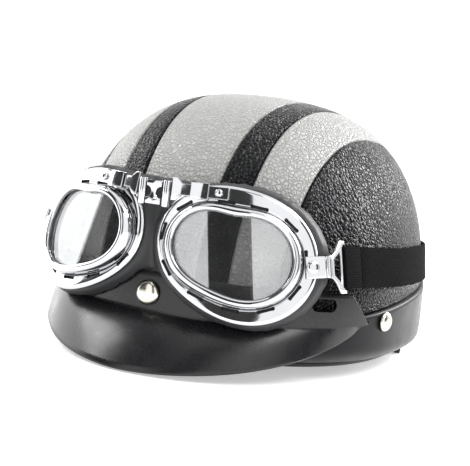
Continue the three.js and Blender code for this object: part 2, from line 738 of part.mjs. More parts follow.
function buildKeeper() {
  addMesh(helmet, 'strap_rear', rearStrap(), blackWebbing());
  const half = 0.085;
  const lowZ = 42;
  const highZ = 92;
  const inside = strapOffset(REAR_DEPTH) + STRAP_THICKNESS + 0.6;
  const keeper = bentPlate(2, 8, (u, v, w) => {
    const seat = THREE.MathUtils.smoothstep(v, 0.82, 0.96);
    const offset = THREE.MathUtils.lerp(inside, 0.6, seat) + 2 * w;
    return domePoint(Math.PI + u * half, lowZ + v * (highZ - lowZ), offset);
  });
  addMesh(helmet, 'strap_keeper', keeper, blackLeather());
  placeMesh(helmet, 'keeper_snap', snapCap(6.2, 3.2), paleNickel(), surfaceFrame(Math.PI, 49, inside + 2.5));
  const stud = solid(round(2.6, 2.4, 14).rotateX(Math.PI / 2));
  placeMesh(helmet, 'keeper_stud', stud, paleNickel(), surfaceFrame(Math.PI, 49, BAND_PROUD + 1.7));
}

// ---------- chin strap ----------

function chinPoint(angle, z, offset) {
  const direction = new THREE.Vector3(Math.sin(angle), -Math.cos(angle), 0);
  return direction.multiplyScalar(planRadius(direction.x, direction.y, offset)).setZ(z);
}

function chinBand(from, to, along, inside, thickness, height) {
  const sink = 1;
  return bentPlate(along, 1, (u, v, w) => {
    const angle = THREE.MathUtils.lerp(from, to, (u + 1) / 2);
    const back = Math.max(-Math.cos(angle), 0);
    return chinPoint(angle, CHIN_PIVOT.z - sink * back + (v - 0.5) * height, inside + thickness * w);
  });
}

function chinAngle(y) {
  const depth = y < 0 ? FRONT_DEPTH : REAR_DEPTH;
  const inner = CHIN_OFFSET;
  const x = (HALF_WIDTH + inner) * (1 - (Math.abs(y) / (depth + inner)) ** PLAN_POWER) ** (1 / PLAN_POWER);
  return Math.atan2(x, -y);
}

function buildChinStrap() {
  const frontAngle = chinAngle(CHIN_PIVOT.y - 9);
  const shortEnd = chinAngle(BUCKLE_START_Y);
  const longStart = chinAngle(BUCKLE_END_Y);
  const holes = [1, -1].map((side) => {
    const drill = round(3.4, 30, 12).rotateZ(Math.PI / 2);
    return solid(drill.translate(side * CHIN_PIVOT.x, CHIN_PIVOT.y, CHIN_PIVOT.z));
  });
  const short = chinBand(frontAngle, shortEnd, 4, CHIN_OFFSET, CHIN_THICKNESS, CHIN_HEIGHT).subtract(holes[0]);
  addMesh(helmet, 'chin_strap_short', short, blackWebbing());
  const farEnd = 2 * Math.PI - frontAngle;
  const long = chinBand(longStart, farEnd, 20, CHIN_OFFSET, CHIN_THICKNESS, CHIN_HEIGHT).subtract(holes[1]);
  addMesh(helmet, 'chin_strap_long', long, blackWebbing());
  const padHalf = 0.42;
  const padThickness = 5;
  const padInside = CHIN_OFFSET - GAP - padThickness;
  const pad = chinBand(Math.PI - padHalf, Math.PI + padHalf, 6, padInside, padThickness, CHIN_HEIGHT + 1);
  addMesh(helmet, 'chin_pad', pad, foam());
}

function buildBuckle() {
  const from = chinPoint(chinAngle(BUCKLE_START_Y), CHIN_PIVOT.z, CHIN_OFFSET + 0.8);
  const to = chinPoint(chinAngle(BUCKLE_END_Y), CHIN_PIVOT.z, CHIN_OFFSET + 0.8);
  const along = to.clone().sub(from).normalize();
  const outward = new THREE.Vector3().crossVectors(along, new THREE.Vector3(0, 0, 1));
  const matrix = new THREE.Matrix4().makeBasis(along, new THREE.Vector3(0, 0, 1), outward).setPosition(from);
  const length = to.distanceTo(from);
  const half = CHIN_HEIGHT / 2 + 0.6;
  const mouth = 21;
  const slot = box([mouth - 13, -6.4, -2.4], [mouth + 2, 6.4, 0.4]);
  const socket = box([GAP, -half, -6.5], [mouth, half, 1.2]).subtract(slot);
  const tongue = box([mouth - 11.7, -6, -2], [mouth + 2, 6, 0]);
  const plug = box([mouth + GAP, -half, -6.5], [length - GAP, half, 1.2]).add(tongue);
  const lever = box([2.5, -6, -9.4], [17, 6, -6.9]);
  placeMesh(helmet, 'buckle_socket', socket, blackPlastic(), matrix);
  placeMesh(helmet, 'buckle_plug', plug, blackPlastic(), matrix);
  placeMesh(helmet, 'buckle_lever', lever, finish(0x8c1c1c, 0.4, 0), matrix);
}

function buildAnchors() {
  for (const [name, side] of [['left', 1], ['right', -1]]) {
    const reach = (low, high, radius, sides) => {
      const pin = round(radius, high - low, sides).rotateZ(Math.PI / 2);
      return solid(pin.translate(side * (low + high) / 2, CHIN_PIVOT.y, CHIN_PIVOT.z));
    };
    const hanger = box([-1, -24, 3.6], [1, -4, LINER_Z - GAP]).translate([side * 88, 0, 0]);
    const anchor = reach(76, 97, 3, 10).add(reach(75.5, 77.3, 5, 16)).add(hanger);
    addMesh(helmet, `chin_anchor_${name}`, anchor, paleNickel());
  }
}

buildShell();
buildLeather();
buildLiner();
buildRim();
buildPeak();
buildSnaps();
buildGoggles();
buildKeeper();
buildChinStrap();
buildBuckle();
buildAnchors();

// Stand the helmet on the floor with the origin under the middle of its box
helmet.updateMatrixWorld(true);
const bounds = new THREE.Box3().setFromObject(helmet, true);
const middle = bounds.getCenter(new THREE.Vector3());
helmet.position.set(0, -middle.y, -bounds.min.z);

export default model;
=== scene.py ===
import math

import bmesh
import bpy
import numpy as np
from mathutils import Matrix, Vector


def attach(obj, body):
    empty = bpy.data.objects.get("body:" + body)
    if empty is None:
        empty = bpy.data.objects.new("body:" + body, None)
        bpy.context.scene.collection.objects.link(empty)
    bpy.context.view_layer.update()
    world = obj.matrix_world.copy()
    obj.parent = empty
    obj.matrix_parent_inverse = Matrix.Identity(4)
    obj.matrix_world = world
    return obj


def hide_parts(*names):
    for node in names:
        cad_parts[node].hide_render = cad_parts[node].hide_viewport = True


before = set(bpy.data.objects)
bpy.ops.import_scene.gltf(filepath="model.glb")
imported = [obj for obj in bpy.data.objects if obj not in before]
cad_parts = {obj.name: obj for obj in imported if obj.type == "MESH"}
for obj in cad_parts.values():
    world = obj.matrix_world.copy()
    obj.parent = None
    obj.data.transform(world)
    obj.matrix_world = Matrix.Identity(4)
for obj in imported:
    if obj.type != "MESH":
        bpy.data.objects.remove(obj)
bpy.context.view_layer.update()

# Driving dimensions in millimetres. Shapes are worked out with the dome's middle at y = 0
# and moved by Y_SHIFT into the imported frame.
Y_SHIFT = 16.458
HALF_WIDTH, FRONT_DEPTH, REAR_DEPTH, CROWN_RISE, WAIST_Z = 115.0, 137.0, 128.0, 147.5, 21.7
PLAN_POWER, SIDE_POWER = 2.3, 2.57
BAND_PROUD, SHELL_INSIDE, RIM_Z, SHELL_ROLL = 1.8, -6.5, 10.5, 23.0
LEATHER_EDGE_Z, LEATHER_EDGE_SLOPE = 47.9, 0.118
SEAMS = [(30.0, 0.17), (46.5, 0.06), (75.0, 0.09)]
LEATHER_THICKNESS, LEATHER_ROUND, STITCH_IN = 2.45, 1.9, 3.4
PEAK_THICKNESS, PEAK_TOP_Z, PEAK_CREASE_SHARE = 2.5, 54.0, 0.4
CREASE_FRONT_Z, CREASE_END_Z = 31.0, 35.5
TOP_ANGLE, END_ANGLE = math.radians(52), math.radians(59.5)
BRIM_HALF_WIDTH, BRIM_REACH, BRIM_CENTRE_Y, BRIM_POWER, BRIM_SPAN = 106, 115.6, -55.2, 1.83, 88
BRIM_LOW_Z, BRIM_SLOPE, BRIM_SWEEP, BRIM_CROWN = 1.9, 0.166, 0.0011, 3
SLOT_LENGTH, SLOT_HEIGHT, SLOT_YAW, SLOT_CENTRE = 17.0, 7.6, 49, (91.6, -97.4, 46.8)
CUP_CENTRE = np.array([46.4, -139.1, 74.7])
CUP_YAW, CUP_PITCH, CUP_ROLL = (math.radians(a) for a in (19.65, 8.4, 10.9))
CUP_CURVE = 0.0081
FLANGE_EGG = (41.7, 3.7, -3.6, 3.1, -4.2)
LENS_EGG = (27.9, 1.7, -4.4, 4.9, -4.1)
BEZEL_WIDTH = 5.6
VENT_ANGLES = (17, 49, 89, 133, 162, 194, 232, 269, 298, 323, 349)
TAB_OUT, TAB_UP = 46.0, -13.2
SIDES = (("left", 1), ("right", -1))
WORLD, FRONT, RIGHT, LEFT, TOP = 0.15, 1.6, 1.5, 3.2, 1.35


# ---------- meshes ----------

def to_frame(points):
    points = np.asarray(points, float).reshape(-1, 3) + np.array([0, Y_SHIFT, 0])
    return points * 0.001


def new_mesh(name, points, faces, smooth_angle=None):
    mesh = bpy.data.meshes.new(name)
    mesh.from_pydata([tuple(p) for p in to_frame(points)], [], faces)
    obj = bpy.data.objects.new(name, mesh)
    bpy.context.scene.collection.objects.link(obj)
    bm = bmesh.new()
    bm.from_mesh(mesh)
    bmesh.ops.remove_doubles(bm, verts=bm.verts, dist=1e-6)
    bmesh.ops.recalc_face_normals(bm, faces=bm.faces)
    bm.to_mesh(mesh)
    bm.free()
    smooth(obj, smooth_angle)
    return obj


def smooth(obj, angle=None):
    for polygon in obj.data.polygons:
        polygon.use_smooth = True
    if angle is not None:
        obj.data.set_sharp_from_angle(angle=math.radians(angle))


def grid_faces(rows, columns, wrap_rows, wrap_columns, start=0):
    faces = []
    for i in range(rows if wrap_rows else rows - 1):
        for j in range(columns if wrap_columns else columns - 1):
            a, b = i, (i + 1) % rows
            c, d = j, (j + 1) % columns
            corners = (a * columns + c, b * columns + c, b * columns + d, a * columns + d)
            faces.append(tuple(start + k for k in corners))
    return faces


def torus_mesh(name, grid, angle=None):
    rows, columns = grid.shape[:2]
    return new_mesh(name, grid, grid_faces(rows, columns, True, True), angle)


def closed_sheet(name, outer, inner, angle=None):
    """A plate with an outer and an inner face, joined round its border."""
    rows, columns = outer.shape[:2]
    count = rows * columns
    faces = grid_faces(rows, columns, False, False)
    faces += [tuple(reversed(f)) for f in grid_faces(rows, columns, False, False, count)]
    border = [(0, j) for j in range(columns)] + [(i, columns - 1) for i in range(1, rows)]
    border += [(rows - 1, j) for j in range(columns - 2, -1, -1)] + [(i, 0) for i in range(rows - 2, 0, -1)]
    index = [i * columns + j for i, j in border]
    for a, b in zip(index, index[1:] + index[:1]):
        faces.append((a, b, b + count, a + count))
    points = np.concatenate([outer.reshape(-1, 3), inner.reshape(-1, 3)])
    return new_mesh(name, points, faces, angle)


def chaikin(loop, times=2):
    """Rounds the corners of a closed profile."""
    loop = np.asarray(loop, float)
    for _ in range(times):
        after = np.roll(loop, -1, axis=0)
        pair = [loop * 0.75 + after * 0.25, loop * 0.25 + after * 0.75]
        loop = np.stack(pair, 1).reshape(-1, loop.shape[1])
    return loop


def apply_modifiers(obj):
    deps = bpy.context.evaluated_depsgraph_get()
    mesh = bpy.data.meshes.new_from_object(obj.evaluated_get(deps))
    obj.modifiers.clear()
    obj.data = mesh


def cut(obj, cutter, angle=35):
    modifier = obj.modifiers.new("cut", "BOOLEAN")
    modifier.operation = "DIFFERENCE"
    modifier.solver = "EXACT"
    modifier.object = cutter
    apply_modifiers(obj)
    bpy.data.objects.remove(cutter)
    smooth(obj, angle)


def joined(objs):
    """One mesh object made of several separate closed ones."""
    bm = bmesh.new()
    for obj in objs:
        bm.from_mesh(obj.data)
    for obj in objs[1:]:
        bpy.data.objects.remove(obj)
    bm.to_mesh(objs[0].data)
    bm.free()
    return objs[0]


def finish_piece(obj, body, slot, material, *nodes):
    obj.data.materials.clear()
    obj.data.materials.append(material)
    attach(obj, body)
    if nodes:
        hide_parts(*nodes)
    return obj


def refined(node, body, slot, material, bevel=0.3, segments=3, angle=30, voxel=None, relax=0):
    """A softened copy of a CAD node that stands in for it."""
    obj = bpy.data.objects.new(node + "_visual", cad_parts[node].data.copy())
    bpy.context.scene.collection.objects.link(obj)
    bm = bmesh.new()
    bm.from_mesh(obj.data)
    bmesh.ops.remove_doubles(bm, verts=bm.verts, dist=1e-6)
    bmesh.ops.dissolve_limit(bm, angle_limit=math.radians(1.5), verts=bm.verts, edges=bm.edges)
    bm.to_mesh(obj.data)
    bm.free()
    if voxel:
        modifier = obj.modifiers.new("remesh", "REMESH")
        modifier.mode = "VOXEL"
        modifier.voxel_size = voxel * 0.001
    if relax:
        modifier = obj.modifiers.new("relax", "SMOOTH")
        modifier.factor = 0.5
        modifier.iterations = relax
    if bevel:
        modifier = obj.modifiers.new("bevel", "BEVEL")
        modifier.width = bevel * 0.001
        modifier.segments = segments
        modifier.limit_method = "ANGLE"
        modifier.angle_limit = math.radians(angle)
    apply_modifiers(obj)
    smooth(obj, None if voxel else 40)
    return finish_piece(obj, body, slot, material, node)


# ---------- dome ----------

def plan_size(x, y, offset=0.0):
    depth = np.where(y < 0, FRONT_DEPTH, REAR_DEPTH) + offset
    across = (np.abs(x) / (HALF_WIDTH + offset)) ** PLAN_POWER
    along = (np.abs(y) / depth) ** PLAN_POWER
    return (across + along) ** (1 / PLAN_POWER)


def dome_point(angle, z, offset):
    angle, z = np.broadcast_arrays(np.asarray(angle, float), np.asarray(z, float))
    dx, dy = np.sin(angle), -np.cos(angle)
    rise = np.clip((z - WAIST_Z) / (CROWN_RISE + offset), 0, 1)
    closing = (1 - rise ** SIDE_POWER) ** (1 / SIDE_POWER)
    reach = closing / plan_size(dx, dy, offset)
    return np.stack([dx * reach, dy * reach, z], -1)


def project(points, offset=0.0):
    """Moves points along rays from the dome's centre onto the dome."""
    d = points - np.array([0, 0, WAIST_Z])
    up = np.clip(d[..., 2], 0, None) / (CROWN_RISE + offset)
    size = (plan_size(d[..., 0], d[..., 1], offset) ** SIDE_POWER + up ** SIDE_POWER) ** (1 / SIDE_POWER)
    return d / size[..., None] + np.array([0, 0, WAIST_Z])


def normals(grid):
    along = np.gradient(grid, axis=0)
    across = np.gradient(grid, axis=1)
    n = np.cross(along, across)
    n /= np.linalg.norm(n, axis=-1, keepdims=True) + 1e-12
    centre = np.array([0, 0, WAIST_Z])
    flip = np.sign(((grid - centre) * n).sum(-1, keepdims=True))
    return n * np.where(flip == 0, 1, flip)


def cosine(count):
    return 0.5 - 0.5 * np.cos(np.linspace(0, math.pi, count))


def strip_surface(inner, outer, side, across, along):
    """Grid of a leather strip from its front edge to its rear edge."""
    def seam(which, y):
        if which is None:
            return -seam(outer, y)
        return which[0] * (1 - which[1] * (y / REAR_DEPTH) ** 2)

    def solve(share, angle):
        low, high = np.full(angle.shape, 0.3), np.full(angle.shape, 1.4)
        depth = np.where(angle < 0, FRONT_DEPTH, REAR_DEPTH)
        for _ in range(40):
            middle = (low + high) / 2
            y = middle * np.sin(angle) * depth
            up = middle * np.cos(angle)
            a, b = seam(inner, y), seam(outer, y)
            x = a + (b - a) * share
            value = plan_size(x, y) ** SIDE_POWER + up ** SIDE_POWER
            low, high = np.where(value < 1, middle, low), np.where(value < 1, high, middle)
        return np.stack([x, y, WAIST_Z + up * CROWN_RISE], -1)

    share = cosine(across)
    ends = []
    for sign in (-1, 1):
        low, high = np.zeros(across), np.full(across, math.pi / 2 * sign)
        for _ in range(40):
            middle = (low + high) / 2
            p = solve(share, middle)
            above = p[:, 2] > LEATHER_EDGE_Z + LEATHER_EDGE_SLOPE * p[:, 1]
            low, high = np.where(above, middle, low), np.where(above, high, middle)
        ends.append(low)
    t = cosine(along)[:, None]
    angle = ends[0][None, :] * (1 - t) + ends[1][None, :] * t
    grid = solve(np.broadcast_to(share[None, :], angle.shape), angle)
    grid[..., 0] *= side
    return grid


def side_surface(side, across, along):
    """Grid of the side panel, from the seam down to the leather's lower edge."""
    seam = strip_surface(SEAMS[1], SEAMS[2], 1, 3, along)[:, 2]
    start, end = (math.atan2(seam[i, 0], -seam[i, 1]) for i in (0, -1))
    t = cosine(along)
    angle = start + (end - start) * t
    z = np.full(along, 45.0)
    for _ in range(6):
        z = LEATHER_EDGE_Z + LEATHER_EDGE_SLOPE * dome_point(angle, z, 0)[:, 1]
    low = dome_point(angle, z, 0)
    s = cosine(across)[None, :, None]
    grid = project(seam[:, None] * (1 - s) + low[:, None] * s)
    grid[..., 0] *= side
    return grid


def edge_distance(grid):
    """Distance in millimetres from each point to the nearest border of its grid."""
    across = np.linalg.norm(np.diff(grid, axis=1), axis=-1).cumsum(1)
    across = np.concatenate([np.zeros((len(grid), 1)), across], 1)
    along = np.linalg.norm(np.diff(grid, axis=0), axis=-1).cumsum(0)
    along = np.concatenate([np.zeros((1, grid.shape[1])), along], 0)
    return np.minimum(np.minimum(across, across[:, -1:] - across), np.minimum(along, along[-1:] - along))


def wave(points, scale, seed):
    """Smooth made-up unevenness between about -1 and 1."""
    rng = np.random.default_rng(seed)
    total = np.zeros(points.shape[:-1])
    for _ in range(7):
        direction = rng.normal(size=3)
        direction /= np.linalg.norm(direction)
        total += np.sin((points @ direction) / scale * rng.uniform(0.7, 1.5) * 2 + rng.uniform(0, 6.3))
    return total / 4


def rounded_drop(distance, radius):
    """How far a surface falls away within a rounding radius of its border."""
    inside = radius - np.minimum(distance, radius)
    return radius - np.sqrt(np.maximum(radius ** 2 - inside ** 2, 0))


def leather_panel(name, grid, material, slot):
    n = normals(grid)
    distance = edge_distance(grid)
    drop = rounded_drop(distance, LEATHER_ROUND)
    uneven = 0.08 * (wave(grid, 16, 3) - 1.3) * np.clip(distance / 8, 0, 1)
    lift = 0.25 * (1 - np.exp(-distance / 5)) - 0.45 + uneven
    stitched = 0.22 * np.exp(-(((distance - STITCH_IN) / 0.55) ** 2))
    outer = grid + n * (lift - drop - stitched)[..., None]
    pull = np.clip(1 - distance / 0.6, 0, 1)[..., None] * 0.12
    middle = grid.reshape(-1, 3).mean(0)
    toward = middle - outer
    toward /= np.linalg.norm(toward, axis=-1, keepdims=True)
    outer = outer + toward * pull
    inner = outer + n * (-LEATHER_THICKNESS - (lift - drop))[..., None]
    obj = closed_sheet(name + "_visual", outer, inner)
    return finish_piece(obj, "helmet", slot, material, name)


# ---------- node materials ----------

class Nodes:
    """Small helper for building one node material."""

    def __init__(self, name):
        self.material = bpy.data.materials.new(name)
        self.material.use_nodes = True
        self.tree = self.material.node_tree
        self.shader = self.tree.nodes["Principled BSDF"]
        self.place = self.add("ShaderNodeTexCoord").outputs["Object"]

    def add(self, kind, inputs=None, **settings):
        node = self.tree.nodes.new(kind)
        for key, value in settings.items():
            setattr(node, key, value)
        for key, value in (inputs or {}).items():
            self.put(node.inputs[key], value)
        return node

    def put(self, socket, value):
        if isinstance(value, bpy.types.NodeSocket):
            self.tree.links.new(value, socket)
        else:
            socket.default_value = value

    def noise(self, scale, detail=3.0, rough=0.55, vector=None):
        inputs = {"Vector": vector or self.place, "Scale": scale, "Detail": detail, "Roughness": rough}
        return self.add("ShaderNodeTexNoise", inputs).outputs["Fac"]

    def cells(self, scale, feature="F1", vector=None, smoothness=None):
        inputs = {"Vector": vector or self.place, "Scale": scale}
        if smoothness is not None:
            inputs["Smoothness"] = smoothness
        return self.add("ShaderNodeTexVoronoi", inputs, feature=feature).outputs["Distance"]

    def ramp(self, value, *stops):
        node = self.add("ShaderNodeValToRGB", {"Fac": value})
        elements = node.color_ramp.elements
        while len(elements) < len(stops):
            elements.new(0.5)
        for element, (at, colour) in zip(elements, stops):
            element.position = at
            shade = colour if isinstance(colour, tuple) else (colour,) * 3
            element.color = (*shade, 1)
        return node.outputs["Color"]

    def maths(self, operation, a, b=0.5):
        node = self.add("ShaderNodeMath", operation=operation)
        self.put(node.inputs[0], a)
        self.put(node.inputs[1], b)
        return node.outputs[0]

    def span(self, value, low, high, start=0.0, end=1.0):
        inputs = {"Value": value, "From Min": start, "From Max": end, "To Min": low, "To Max": high}
        return self.add("ShaderNodeMapRange", inputs).outputs["Result"]

    def bump(self, height, distance, strength=1.0, normal=None):
        inputs = {"Height": height, "Distance": distance, "Strength": strength}
        if normal is not None:
            inputs["Normal"] = normal
        return self.add("ShaderNodeBump", inputs).outputs["Normal"]

    def set(self, **values):
        for key, value in values.items():
            self.put(self.shader.inputs[key.replace("_", " ")], value)
        return self.material

    def warped(self, scale, amount):
        """Coordinates pushed about by noise, so cells don't look regular."""
        kind = "ShaderNodeVectorMath"
        inputs = {"Vector": self.place, "Scale": scale, "Detail": 2.0}
        noise = self.add("ShaderNodeTexNoise", inputs).outputs["Color"]
        centred = self.add(kind, {0: noise, 1: (0.5, 0.5, 0.5)}, operation="SUBTRACT").outputs[0]
        scaled = self.add(kind, {0: centred, "Scale": amount}, operation="SCALE").outputs[0]
        return self.add(kind, {0: self.place, 1: scaled}, operation="ADD").outputs[0]


def leather(name, light, dark, crease, rough, depth, specular):
    m = Nodes(name)
    warped = m.warped(170.0, 0.0035)
    pebble = m.cells(400.0, "SMOOTH_F1", warped, 0.35)
    edge = m.cells(400.0, "DISTANCE_TO_EDGE", warped)
    wide = m.noise(28.0, 4.0)
    colour = m.add("ShaderNodeMix", {"Factor": wide}, data_type="RGBA")
    m.put(colour.inputs[6], (*light, 1))
    m.put(colour.inputs[7], (*dark, 1))
    # Painted shade: the grooves between the pebbles are tinted towards the crease colour, so the recesses
    # are darker than the leather itself.
    groove_shade = m.ramp(edge, (0.0, 1.0), (0.16, 0.0))
    groove_shaded_colour = m.add("ShaderNodeMix", {"Factor": groove_shade}, data_type="RGBA")
    m.put(groove_shaded_colour.inputs[6], colour.outputs[2])
    m.put(groove_shaded_colour.inputs[7], (*crease, 1))
    fine = m.noise(2600.0, 2.0)
    height = m.maths("SUBTRACT", m.span(edge, 0.0, 1.0, 0.0, 0.2), m.maths("MULTIPLY", pebble, 0.5))
    normal = m.bump(fine, 0.00004, 0.5, m.bump(height, depth, 0.85))
    return m.set(
        Base_Color=groove_shaded_colour.outputs[2],
        Roughness=m.span(m.noise(90.0), rough - 0.06, rough + 0.08),
        Normal=normal,
        Specular_IOR_Level=specular,
    )


def moulded(name, base, rough, grain=0.00002, scale=1500.0, coat=0.0, specular=0.36):
    m = Nodes(name)
    tone = m.noise(14.0, 4.0)
    colour = m.ramp(tone, (0.25, tuple(c * 0.86 for c in base)), (0.75, tuple(c * 1.14 for c in base)))
    speck = m.noise(scale, 2.0)
    scuffs = m.noise(60.0, 6.0, 0.7)
    return m.set(
        Base_Color=colour,
        Roughness=m.span(scuffs, rough - 0.05, rough + 0.07, 0.3, 0.7),
        Normal=m.bump(speck, grain, 0.6),
        Specular_IOR_Level=specular,
        Coat_Weight=coat,
        Coat_Roughness=0.25,
    )


def plated(name, base, rough, uneven=0.00003):
    m = Nodes(name)
    cloud = m.noise(45.0, 3.0)
    colour = m.ramp(cloud, (0.3, tuple(c * 0.94 for c in base)), (0.7, base))
    wear = m.noise(420.0, 5.0, 0.7)
    return m.set(
        Base_Color=colour,
        Metallic=1.0,
        Roughness=m.span(wear, rough * 0.6, rough * 1.7, 0.3, 0.7),
        Normal=m.bump(m.noise(70.0, 2.0), uneven, 0.5),
    )


def woven(name, base, thread):
    m = Nodes(name)
    waves = []
    for direction in ("X", "Y", "Z"):
        bands = m.add(
            "ShaderNodeTexWave",
            {"Vector": m.place, "Scale": 340.0, "Distortion": 0.6, "Detail": 1.0},
            bands_direction=direction,
        )
        waves.append(bands.outputs["Fac"])
    knit = m.maths("MULTIPLY", m.maths("ADD", waves[0], waves[1]), waves[2])
    colour = m.ramp(knit, (0.1, base), (0.9, thread))
    fuzz = m.noise(900.0, 3.0)
    return m.set(
        Base_Color=colour,
        Roughness=m.span(fuzz, 0.75, 0.95),
        Normal=m.bump(fuzz, 0.00005, 0.4, m.bump(knit, 0.00022, 0.9)),
        Specular_IOR_Level=0.04,
    )


def soft_skin(name, base, rough):
    m = Nodes(name)
    pores = m.cells(1300.0, "F1")
    tone = m.noise(22.0, 4.0)
    colour = m.ramp(tone, (0.3, tuple(c * 0.85 for c in base)), (0.7, tuple(c * 1.2 for c in base)))
    creases = m.noise(120.0, 4.0, 0.6)
    return m.set(
        Base_Color=colour,
        Roughness=m.span(creases, rough - 0.05, rough + 0.1),
        Normal=m.bump(creases, 0.00015, 0.5, m.bump(pores, 0.00005, 0.6)),
        Specular_IOR_Level=0.4,
    )


def clear_lens(name):
    m = Nodes(name)
    smear = m.noise(30.0, 3.0)
    dust = m.noise(700.0, 3.0, 0.7)
    return m.set(
        Base_Color=m.ramp(smear, (0.3, (0.92, 0.94, 0.96)), (0.7, (0.98, 0.99, 1.0))),
        Metallic=1.0,
        Roughness=m.span(dust, 0.0, 0.05, 0.4, 0.75),
        Alpha=m.span(smear, 0.17, 0.2, 0.3, 0.7),
    )


# The third colour of each leather is the crease colour, painted shade for the grooves of its grain.
GREY_LEATHER = leather(
    "grey_leather", (0.40, 0.40, 0.386), (0.35, 0.35, 0.34), (0.27, 0.27, 0.262), 0.36, 0.0007, 0.4,
)
BLACK_LEATHER = leather(
    "black_leather", (0.006, 0.0065, 0.008), (0.003, 0.0035, 0.0045), (0.001, 0.001, 0.0015),
    0.23, 0.001, 0.16,
)
SHELL = moulded("shell_plastic", (0.007, 0.0072, 0.0082), 0.32, specular=0.12)
PEAK = moulded("peak_plastic", (0.006, 0.0062, 0.0072), 0.27, specular=0.4)
FOAM = moulded("liner_foam", (0.012, 0.012, 0.013), 0.85, 0.0003, 350.0)
TRIM = moulded("trim_rubber", (0.009, 0.009, 0.01), 0.5)
BUCKLE = moulded("buckle_plastic", (0.012, 0.012, 0.013), 0.42)
LEVER = moulded("lever_red", (0.33, 0.012, 0.01), 0.3, coat=0.4)
CHROME = plated("chrome", (0.55, 0.555, 0.57), 0.06)
NICKEL = plated("nickel", (0.6, 0.58, 0.51), 0.16)
WEBBING = woven("strap_webbing", (0.001, 0.001, 0.0012), (0.006, 0.006, 0.0068))
CHIN_WEBBING = woven("chin_webbing", (0.008, 0.008, 0.009), (0.025, 0.025, 0.026))
LINING = woven("lining_fabric", (0.012, 0.012, 0.013), (0.03, 0.03, 0.031))
MASK = soft_skin("mask_rubber", (0.022, 0.0225, 0.024), 0.5)
PAD = soft_skin("pad_leather", (0.006, 0.006, 0.0065), 0.5)
LENS = clear_lens("lens_clear")


# ---------- leather and shell ----------

def build_leather():
    first, second, third = SEAMS
    centre = strip_surface(None, first, 1, 60, 190)
    leather_panel("leather_center", centre, GREY_LEATHER, "grey_leather")
    for name, side in SIDES:
        black = strip_surface(first, second, side, 30, 190)
        leather_panel(f"leather_black_stripe_{name}", black, BLACK_LEATHER, "black_leather")
        grey = strip_surface(second, third, side, 44, 190)
        leather_panel(f"leather_grey_stripe_{name}", grey, GREY_LEATHER, "grey_leather")
        flank = side_surface(side, 90, 190)
        leather_panel(f"leather_side_{name}", flank, BLACK_LEATHER, "black_leather")


def ring_grid(profile, count):
    """profile(angle) gives rows of (offset, z, roll share) round the dome."""
    angles = np.linspace(0, 2 * math.pi, count, endpoint=False)
    return np.stack([profile(a) for a in angles])


def build_shell():
    def profile(angle):
        edge = 45.0
        for _ in range(6):
            edge = LEATHER_EDGE_Z - 0.35 + LEATHER_EDGE_SLOPE * dome_point(angle, edge, BAND_PROUD)[1]
        rows = [(-3.2, edge + 9), (-3.2, edge + 0.4), (0.9, edge), (BAND_PROUD, edge - 0.9)]
        rows += [(BAND_PROUD, z) for z in np.linspace(edge - 3, WAIST_Z, 10)]
        points = [dome_point(angle, z, offset) for offset, z in rows]
        base = dome_point(angle, WAIST_Z, BAND_PROUD)
        for drop in np.linspace(1.5, WAIST_Z - RIM_Z - 0.4, 6):
            share = (1 - (drop / SHELL_ROLL) ** SIDE_POWER) ** (1 / SIDE_POWER)
            points.append(base * np.array([share, share, 1]) - np.array([0, 0, drop]))
        rim = points[-1]
        points.append(rim * np.array([0.993, 0.993, 1]) - np.array([0, 0, 0.4]))
        inner = dome_point(angle, WAIST_Z, SHELL_INSIDE)
        share = (1 - ((WAIST_Z - RIM_Z) / (SHELL_ROLL + 3)) ** SIDE_POWER) ** (1 / SIDE_POWER)
        points.append(inner * np.array([share, share, 1]) + np.array([0, 0, RIM_Z - WAIST_Z]))
        points.append(inner)
        points.append(dome_point(angle, edge + 9, SHELL_INSIDE))
        return np.array(points)

    band = torus_mesh("outer_shell_visual", ring_grid(profile, 240), 50)
    finish_piece(band, "helmet", "shell_plastic", SHELL, "outer_shell")


def build_trim():
    def profile(angle):
        loop = chaikin([(-11, 6.2), (-11, 10.1), (-17.3, 10.1), (-17.3, 6.2)], 2)
        return np.array([dome_point(angle, WAIST_Z, o) + np.array([0, 0, z - WAIST_Z]) for o, z in loop])

    trim = torus_mesh("edge_trim_visual", ring_grid(profile, 200), 60)
    finish_piece(trim, "helmet", "trim_rubber", TRIM, "edge_trim")


# ---------- peak ----------

def peak_surface(u, v):
    """Outer face, from the band's top (v = 0) to the brim's edge (v = 1)."""
    share = PEAK_CREASE_SHARE
    outward = BAND_PROUD + 0.3 + PEAK_THICKNESS
    end = np.abs(u) ** 3
    crease_z = CREASE_FRONT_Z + (CREASE_END_Z - CREASE_FRONT_Z) * u * u
    angle = u * END_ANGLE
    crease = dome_point(angle, crease_z, outward)
    up = np.clip(1 - v / share, 0, 1)
    top_angle = u * (END_ANGLE + (TOP_ANGLE - END_ANGLE) * end * up)
    band = dome_point(top_angle, crease_z + (PEAK_TOP_Z - crease_z) * up, outward)
    around = u * math.radians(BRIM_SPAN)
    x = BRIM_HALF_WIDTH * np.sign(around) * np.abs(np.sin(around)) ** (2 / BRIM_POWER)
    y = BRIM_CENTRE_Y - BRIM_REACH * np.abs(np.cos(around)) ** (2 / BRIM_POWER)
    back = y - BRIM_CENTRE_Y + BRIM_REACH
    edge = np.stack([x, y, BRIM_LOW_Z + BRIM_SLOPE * back + BRIM_SWEEP * back ** 2], -1)
    out = np.clip((v - share) / (1 - share), 0, 1)
    brim = crease + (edge - crease) * out[..., None]
    brim[..., 2] += BRIM_CROWN * np.sin(math.pi * out) * (1 - end)
    return np.where((v <= share)[..., None], band, brim)


